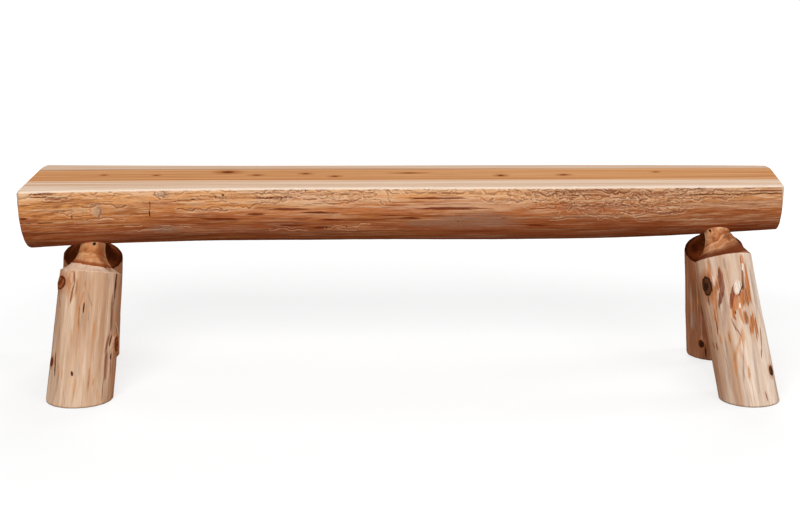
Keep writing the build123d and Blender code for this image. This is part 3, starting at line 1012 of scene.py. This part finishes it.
def markEnds(leg, mark):
    # the two ends of a mark in the leg's own frame, on the skin, or on the hollow of the shoulder
    ends = []
    for below, degrees in (mark[:2], mark[2:4]):
        radius = poleRadius(leg, poleLegs["usualLength"], below)
        sunk = below - leg["neck"]
        if sunk < poleLegs["hollowReach"]:
            hollow = poleLegs["shoulderRadius"]
            radius = poleLegs["tenonDiameter"] / 2 + hollow - math.sqrt(hollow**2 - sunk**2)
        turn = math.radians(degrees)
        ends.append(Vector((radius * math.cos(turn), radius * math.sin(turn), -below)))
    return ends


def markDistance(leg, mark, place):
    # 0 in the middle of a mark, 1 at its edge
    start, stop = [np.array(end) for end in markEnds(leg, mark)]
    reach = np.linalg.norm(stop - start)
    way = (stop - start) / reach
    away = place - (start + stop) / 2
    along = away @ way
    across = np.linalg.norm(away - along[..., None] * way, axis=-1)
    return np.hypot(along / (reach / 2 + mark[4]), across / mark[4])


def markField(n, vector, leg, marks):
    # the same in a finish, for the nearest of a few marks
    ovals = []
    for mark in marks:
        start, stop = markEnds(leg, mark)
        half = (stop - start).length / 2 + mark[4]
        turned = (stop - start).to_track_quat("Z", "Y").to_euler()
        ovals.append(n.oval(vector, (start + stop) / 2, (mark[4], mark[4], half), turned))
    return n.nearest(ovals)


def poleSurface(leg, length, below, turn):
    # how far out the skin stands, how near each point is to a knot, and how far knots push the grain aside
    pole, seed = poleLegs, leg["seed"]
    radius = poleRadius(leg, length, below)
    outX, outY = np.cos(turn), np.sin(turn)
    wander = 0.6 * softNoise(outX * 1.5, outY * 1.5, below * 6, seed)
    lift = facetDent(turn * radius / pole["facetWidth"] + wander, pole["facetDepth"])
    lift = lift + pole["unevenness"] * softNoise(outX * 1.3, outY * 1.3, below * 9, seed + 30)
    lift = lift + pole["ripple"] * softNoise(outX * 9, outY * 9, below * 40, seed + 60)
    lift = lift + leg["fuller"] * np.clip(outX, 0, 1) ** 2
    nearKnot = np.full_like(below, 4.0)
    bend = np.zeros_like(below)
    for knotBelow, degrees, half, halfLength, proud in leg["knots"]:
        side = np.angle(np.exp(1j * (turn - math.radians(degrees)))) * radius
        rough = 0.10 * softNoise(side * 260, below * 160, knotBelow * 50, seed + 90)
        far = np.hypot(side / half, (below - knotBelow) / halfLength) + rough
        lift = lift + proud * ease(2.3, 0.5, far) - pole["knotDip"] * ease(0.75, 0.1, far)
        lift = lift - pole["knotGroove"] * ridge(far, 1.05, 0.16)
        nearKnot = np.minimum(nearKnot, far)
        bend = bend + np.sign(side) * half * 0.8 * np.exp(-(far**2) / 2.5) * ease(0, 0.3, np.abs(side) / half)
    place = np.stack([radius * outX, radius * outY, -below + np.zeros_like(radius)], -1)
    for tone, marks in leg["marks"].items():
        depth = pole["marks"][tone][4]
        for mark in marks if depth else []:
            far = markDistance(leg, mark, place)
            if depth > 0:
                lift = lift - depth * ease(1.25, 0.2, far)
            else:
                lift = lift - depth * ease(1.15, 0.6, far) - pole["flakeGroove"] * ridge(far, 1.25, 0.2)
    return radius + lift, nearKnot, bend


def buildLeg(leg):
    pole = poleLegs
    mouth, xAxis, yAxis, up = legFrame(leg)
    length = mouth.z / up.z
    neck, neckRadius = leg["neck"], pole["tenonDiameter"] / 2
    turn = np.linspace(0, 2 * math.pi, pole["turns"], endpoint=False)
    around = np.zeros_like(turn)
    outX, outY = np.cos(turn), np.sin(turn)
    outZ = xAxis.z * outX + yAxis.z * outY  # how much each way out points up
    front = np.clip(np.cos(turn + math.pi / 2), 0, 1) ** 2
    hollow = pole["shoulderRadius"] + leg["flatFront"] * front
    toward, coneShare = leg["cone"]
    coned = coneShare * np.clip(np.cos(turn - math.radians(toward)), 0, 1) ** 0.7

    def skinAt(below):
        return poleSurface(leg, length, below, turn)[0]

    def hollowAt(angle):
        return neckRadius + hollow * (1 - np.cos(angle)), neck + hollow * np.sin(angle)

    def pastThePole(angle):
        radius, below = hollowAt(angle)
        return radius > skinAt(below)

    rimAngle = halving(around, around + math.pi / 2, pastThePole, 24)
    rimRadius, rimBelow = hollowAt(rimAngle)
    footBelow = around + length
    for again in range(8):
        footBelow = (mouth.z + skinAt(footBelow) * outZ) / up.z

    # rows from the top down: radius, how far below, and 0 for cut wood to 1 for skin
    top, chamfer = -pole["tenonLength"], pole["tenonChamfer"]
    rows = [(0.25 * neckRadius, top, 0), (0.6 * neckRadius, top, 0)]
    rows += [(neckRadius - chamfer, top, 0), (neckRadius, top + chamfer, 0)]
    rows += [(neckRadius, below, 0) for below in np.linspace(top, 0, 9)[1:-1]]
    rows += [(neckRadius, below, 0) for below in np.linspace(0, neck, 4)[:-1]]
    soft = pole["rimEasing"]
    for share in np.linspace(0, 1, pole["hollowRows"]):
        phi = (rimAngle - soft / hollow) * share
        uneven = 0.6 + 0.4 * softNoise(outX * 2, outY * 2, share * 4, leg["seed"] + 5)
        wave = pole["chatter"] * uneven * np.sin(phi * 46 + 0.8 * outY) * math.sin(math.pi * share)
        curved, below = hollowAt(phi)
        straight = neckRadius + (rimRadius - neckRadius) * (below - neck) / (rimBelow - neck)
        rows.append((curved + (straight - curved) * coned + wave, below + wave, 0))
    rows.append((rimRadius - 0.25 * soft, rimBelow + 0.25 * soft, 0.4))
    footSoft = pole["footEasing"]
    first, last = rimBelow + soft, footBelow - footSoft
    for share in np.linspace(0, 1, pole["bodyRows"]):
        below = first + (last - first) * share
        rows.append((skinAt(below), below, 1))
    footRadius = skinAt(footBelow)
    rows.append((footRadius - 0.3 * footSoft, footBelow - 0.3 * footSoft, 0.6))
    bottom = len(rows)
    for share in (1.0, 0.93, 0.8, 0.62, 0.4, 0.2):
        inner = (footRadius - footSoft) * share
        rows.append((inner, (mouth.z + inner * outZ) / up.z, 0))

    radius, below, skin = [np.stack([around + row[i] for row in rows]) for i in range(3)]
    turns = turn + np.zeros_like(radius)
    nearKnot, bend = poleSurface(leg, length, below, turns)[1:]
    out = outX[:, None] * np.array(xAxis) + outY[:, None] * np.array(yAxis)
    rings = np.array(mouth) + radius[..., None] * out - below[..., None] * np.array(up)
    rings[bottom:, :, 2] = 0.0
    rings[..., 2] = np.maximum(rings[..., 2], 0.0)

    isSkin = skin > 0.5
    plain = np.where(isSkin, poleRadius(leg, length, below), radius)
    grainTurn = turns - bend / np.maximum(radius, 0.01) * ease(0.5, 1.0, skin)
    pithX, pithY = leg["pith"]
    grain = np.stack([radius * np.cos(grainTurn) - pithX, radius * np.sin(grainTurn) - pithY, -below], 2)
    onPole = np.stack([plain * outX, plain * outY, -below], 2)
    sawn = np.zeros_like(skin)
    sawn[bottom:] = 1
    sawn[:3] = 1
    foot = ease(0.008, 0.0, (footBelow - below) * isSkin + 1.0 * ~isSkin)
    knot = np.where(isSkin, nearKnot, 4.0)
    values = dict(grain=grain, pole=onPole, skin=skin, knot=knot, sawn=sawn, foot=foot)
    return skinRings("pole_" + leg["name"], rings[::-1], {key: value[::-1] for key, value in values.items()})


screwHole = dict(angle=48, belowSeat=0.0065, bore=0.0039, boreDepth=0.0085, pilot=0.0022, pilotDepth=0.0814,
                 out=0.03, sides=24, search=0.05)


def screwLine(leg):
    # where the screw's axis crosses the neck, and its direction
    mouth, xAxis, yAxis, up = legFrame(leg)
    turn, tilt = math.radians(leg["screw"]), math.radians(screwHole["angle"])
    out = xAxis * math.cos(turn) + yAxis * math.sin(turn)
    side = mouth + out * (poleLegs["tenonDiameter"] / 2)

    def insideTheLog(rise):
        p = side + up * rise
        across = (p.y - logMiddle(p.x)) / logHalfWidth(p.x)
        down = (halfLog["height"] - p.z) / logDepth(p.x)
        return across**2 + down**2 < 1

    meets = float(halving(-screwHole["search"], screwHole["search"], insideTheLog, 10))
    return side + up * (meets - screwHole["belowSeat"]), up * math.cos(tilt) - out * math.sin(tilt)


def boreCutter(place, direction):
    # a closed turned solid on the screw's line: the bore for the head, then the pilot hole
    hole, rings = screwHole, []
    turn = np.linspace(0, 2 * math.pi, hole["sides"], endpoint=False)
    for radius, height in ((hole["bore"], -hole["out"]), (hole["bore"], hole["boreDepth"]),
                           (hole["pilot"], hole["boreDepth"]), (hole["pilot"], hole["pilotDepth"])):
        rings.append(np.stack([radius * np.cos(turn), radius * np.sin(turn), np.full_like(turn, height)], 1))
    cutter = skinRings("bore", np.stack(rings), {})
    cutter.matrix_world = Matrix.Translation(place) @ direction.to_track_quat("Z", "Y").to_matrix().to_4x4()
    return cutter


def carve(piece, cutter):
    cut = piece.modifiers.new("cut", "BOOLEAN")
    cut.object = cutter
    cut.operation = "DIFFERENCE"
    cut.solver = "EXACT"
    bpy.context.view_layer.update()
    carved = bpy.data.meshes.new_from_object(piece.evaluated_get(bpy.context.evaluated_depsgraph_get()))
    piece.modifiers.remove(cut)
    old = piece.data
    carved.name = old.name
    piece.data = carved
    bpy.data.meshes.remove(old)
    bpy.data.objects.remove(cutter)


def peeledWood(n, leg, grain, x, streak, fibre):
    # sapwood with streaks along the pole
    look, pale, body = poleLegs, leg["pale"], leg["body"]
    broad = n.noise(grain, (32, 32, 4), 3, 0.6)
    warm = n.noise(grain, (64, 64, 8), 3, 0.6)
    cool = n.noise(grain, (50, 52, 5))
    # the body slides paler along x: painted light on one side and painted shade on the other
    return n.paint(
        n.ramp(n.nudge(broad, x, leg["paintedLightAlongX"]), [0.34, 0.60], [body, pale]),
        (n.mix(0.45, body, look["streakDark"]), streak, 0.53, 0.64, 0.38),
        (n.mix(0.5, pale, look["streakLight"]), streak, 0.45, 0.35, 0.36),
        (look["warm"], warm, 0.56, 0.70, 0.42),
        (look["cool"], cool, 0.58, 0.72, 0.34),
        (look["fibre"], fibre, 0.55, 0.74, 0.30),
    )


def poleMarks(n, leg, wood, onPole, streak, fibre, edges):
    # from broad stains to dark slits, with edges frayed along the grain
    for key, (tone, strength, frayed, soft, depth) in poleLegs["marks"].items():
        if key not in leg["marks"]:
            continue
        field = n.nudge(markField(n, onPole, leg, leg["marks"][key]), edges, frayed)
        shade = [level * 0.58 for level in tone]
        light = [level + (220 - level) * 0.25 for level in tone]
        toned = n.paint(tone, (shade, fibre, 0.44, 0.66, 1.0), (light, streak, 0.54, 0.40, 0.8))
        wood = n.paint(wood, (toned, field, 1.05 + soft / 2, 0.95 - soft / 2, strength))
    return wood


def poleKnots(n, leg, wood, onPole, knot, fibre):
    # a dark heart with rings, a dark outline and a stained halo
    dark, light = leg["knotTone"]
    inside = n.paint(
        dark,
        (light, n.math("SINE", n.times(knot, 26.0)), -0.6, 0.9, 0.7),
        (light, n.noise(onPole, (120, 120, 70)), 0.42, 0.60, 1.0),
        (poleLegs["knotFibre"], fibre, 0.5, 0.66, 0.7),
    )
    return n.paint(
        wood,
        (poleLegs["knotHalo"], knot, 2.3, 1.1, 0.60),
        (dark, knot, 1.20, 1.00, 1.0),
        (inside, knot, 1.02, 0.80, 1.0),
        (dark, knot, 0.55, 0.15, 0.7),
    )


def cutWood(n, leg, grain, onPole, streak, fibre, edges):
    # rings round the pith, heart inside and sapwood out to the rim
    body, edge, band = leg["body"], leg["heart"], leg["band"]
    dark, middle, light = leg["cut"]
    x, y, z = n.split(grain)
    warped = n.nudge(n.length(n.join(x, y, 0.0)), n.sway(grain, (14, 14, 4), 1), 0.007)
    jagged = n.nudge(warped, n.sway(grain, (110, 110, 30)), 0.0035)
    jagged = n.nudge(jagged, x, leg["heartLean"])
    rings = n.noise(n.join(warped, 0.0, z), (360, 1, 3), 3, 0.6)
    clouds = n.noise(grain, (30, 30, 40))
    heart = n.paint(
        n.mix(0.35, n.ramp(rings, [0.34, 0.46, 0.64], leg["cut"]), middle),
        (light, clouds, 0.50, 0.62, 0.65),
        (dark, clouds, 0.46, 0.36, 0.65),
        (dark, jagged, edge - band, edge - band * 0.4, 0.9),
    )
    sap = n.paint(
        leg["rim"],
        (body, rings, 0.44, 0.60, 0.30),
        (body, streak, 0.50, 0.62, 0.40),
        (poleLegs["sapFibre"], fibre, 0.52, 0.70, 0.30),
    )
    cut = n.mix(n.step(jagged, edge - 0.0004, edge + 0.0006), heart, sap)
    # stains on the cut wood, partly painted shade under the log
    if leg["stainsAndShade"]:
        stainsAndShade = n.nudge(markField(n, onPole, leg, leg["stainsAndShade"]), edges, 1.2)
        cut = n.paint(cut, (leg["stainAndShadeTone"], stainsAndShade, 1.3, 0.4, 0.85))
    pits = [mark for mark in leg["marks"]["dark"] if mark[2] < poleLegs["pitReach"]]
    if pits:
        pitted = n.nudge(markField(n, onPole, leg, pits), edges, 0.8)
        cut = n.paint(cut, (poleLegs["pit"], pitted, 1.1, 0.7, 1.0))
    return n.mix(n.attribute("sawn"), cut, n.mix(n.step(rings, 0.42, 0.56), *poleLegs["sawn"]))


def poleWood(leg):
    material, n, shader = newFinish("peeled_" + leg["name"])
    grain, onPole = n.attribute("grain", "Vector"), n.attribute("pole", "Vector")
    streak = n.noise(grain, (130, 130, 5), 4, 0.65)
    fibre = n.noise(grain, (420, 420, 14), 3, 0.6)
    ragged = n.sway(onPole, (120, 120, 45), 3, 0.6)
    edges = n.nudge(n.sway(onPole, (330, 330, 22), 3, 0.6), ragged, 0.8)
    knot = n.nudge(n.attribute("knot"), ragged, 0.35)

    wood = peeledWood(n, leg, grain, n.split(grain)[0], streak, fibre)
    wood = poleMarks(n, leg, wood, onPole, streak, fibre, edges)
    wood = poleKnots(n, leg, wood, onPole, knot, fibre)
    foot = n.nudge(n.attribute("foot"), ragged, 0.6)
    wood = n.paint(wood, (poleLegs["foot"], foot, 0.3, 1.0, 0.6))
    cut = cutWood(n, leg, grain, onPole, streak, fibre, edges)
    colour = n.mix(n.step(n.attribute("skin"), 0.35, 0.75), cut, wood)
    height = n.minus(n.nudge(fibre, streak, 0.5), n.times(n.step(knot, 1.15, 1.0), 0.6))
    finishWood(n, shader, colour, n.step(fibre, 0.3, 0.7, 0.36, 0.55), height)
    return material


for leg in (frontLeft, frontRight, backLeft, backRight):
    piece = buildLeg(leg)
    carve(piece, boreCutter(*screwLine(leg)))
    settle(piece, leg["name"], poleWood(leg))


print("screws")

blackSteel = dict(tones=[(38, 34, 31), (64, 56, 50), (118, 108, 98)], metallic=0.6, speckle=900)


def screwSteel():
    material, n, shader = newFinish("blackened_steel")
    worn = n.noise(n.add("TexCoord").outputs["Object"], (blackSteel["speckle"],) * 3)
    colour = n.ramp(worn, [0.40, 0.62, 0.75], blackSteel["tones"])
    n.tree.links.new(colour, shader.inputs["Base Color"])
    n.tree.links.new(n.step(worn, 0.3, 0.7, 0.35, 0.6), shader.inputs["Roughness"])
    shader.inputs["Metallic"].default_value = blackSteel["metallic"]
    return material


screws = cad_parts["leg_screws"]
steel = screwSteel()
if screws.material_slots:
    for slot in screws.material_slots:
        slot.material = steel
else:
    screws.data.materials.append(steel)


print("floor, light and camera")

studio = dict(
    floorSize=60.0,
    floorShade=0.36,  # what the floor sends back to the bench
    nearGlow=0.66,  # added for the camera, so that the open floor is white
    farGlow=0.95,
    glowGrows=(0.8, 3.0),  # from near to far
    skyStrength=0.27,
)

floorMesh = bpy.data.meshes.new("studio_floor")
wide = studio["floorSize"] / 2
floorCorners = [(-wide, -wide, 0), (wide, -wide, 0), (wide, wide, 0), (-wide, wide, 0)]
floorMesh.from_pydata(floorCorners, [], [(0, 1, 2, 3)])
floor = bpy.data.objects.new("studio_floor", floorMesh)
bpy.context.scene.collection.objects.link(floor)


def raysThatSeeWhite(n):
    rays = n.add("LightPath").outputs
    seen = n.math("MAXIMUM", rays["Is Camera Ray"], rays["Is Glossy Ray"])
    return n.math("MAXIMUM", seen, rays["Is Transmission Ray"])


def floorFinish():
    material, n, shader = newFinish("pale_floor")
    shade = studio["floorShade"]
    shader.inputs["Base Color"].default_value = (shade, shade, shade, 1)
    shader.inputs["Roughness"].default_value = 1.0
    shader.inputs["Specular IOR Level"].default_value = 0.0
    shader.inputs["Emission Color"].default_value = (1, 1, 1, 1)
    away = n.length(n.add("TexCoord").outputs["Object"])
    glow = n.step(away, *studio["glowGrows"], studio["nearGlow"], studio["farGlow"])
    n.tree.links.new(n.times(raysThatSeeWhite(n), glow), shader.inputs["Emission Strength"])
    return material


floorMesh.materials.append(floorFinish())

world = bpy.data.worlds.new("studio_air")
bpy.context.scene.world = world
world.use_nodes = True
air = Nodes(world.node_tree)
background = world.node_tree.nodes["Background"]
background.inputs["Color"].default_value = (1, 1, 1, 1)
skyStrength = air.step(raysThatSeeWhite(air), 0.0, 1.0, studio["skyStrength"], 1.0)
world.node_tree.links.new(skyStrength, background.inputs["Strength"])

# place, aimed at, size across and up, watts
lamps = dict(
    key=((-0.9, -4.2, 2.9), (0, 0, 0.25), (2.8, 1.4), 172),
    fill=((2.4, -3.6, 1.7), (0.2, 0, 0.2), (1.8, 1.8), 50),
    back=((0.6, 4.2, 2.4), (0, 0, 0.25), (2.8, 1.4), 95),
    left=((-4.4, 1.0, 1.5), (0, 0, 0.25), (1.6, 1.6), 24),
    right=((4.4, 1.0, 1.5), (0, 0, 0.25), (1.6, 1.6), 52),
)
for lampName, (stand, aim, panel, watts) in lamps.items():
    light = bpy.data.lights.new(lampName, "AREA")
    light.shape = "RECTANGLE"
    light.size, light.size_y = panel
    light.energy = watts
    lamp = bpy.data.objects.new(lampName, light)
    lamp.location = stand
    lamp.rotation_euler = (Vector(aim) - Vector(stand)).to_track_quat("-Z", "Y").to_euler()
    bpy.context.scene.collection.objects.link(lamp)

view = dict(
    place=(0.0365, -4.2607, 1.2408),
    yaw=0.0103,  # radians, to the left
    pitch=0.2314,  # down
    roll=-0.0045,
    lens=95.38,
    sensor=36.0,
    farthest=200,
)

lens = bpy.data.cameras.new("view")
lens.lens = view["lens"]
lens.sensor_fit = "HORIZONTAL"
lens.sensor_width = view["sensor"]
lens.clip_end = view["farthest"]
camera = bpy.data.objects.new("view", lens)
aimed = Matrix.Rotation(view["yaw"], 4, "Z") @ Matrix.Rotation(math.pi / 2 - view["pitch"], 4, "X")
camera.matrix_world = Matrix.Translation(view["place"]) @ aimed @ Matrix.Rotation(view["roll"], 4, "Z")
bpy.context.scene.collection.objects.link(camera)
bpy.context.scene.camera = camera
bpy.context.scene.view_settings.view_transform = "Standard"
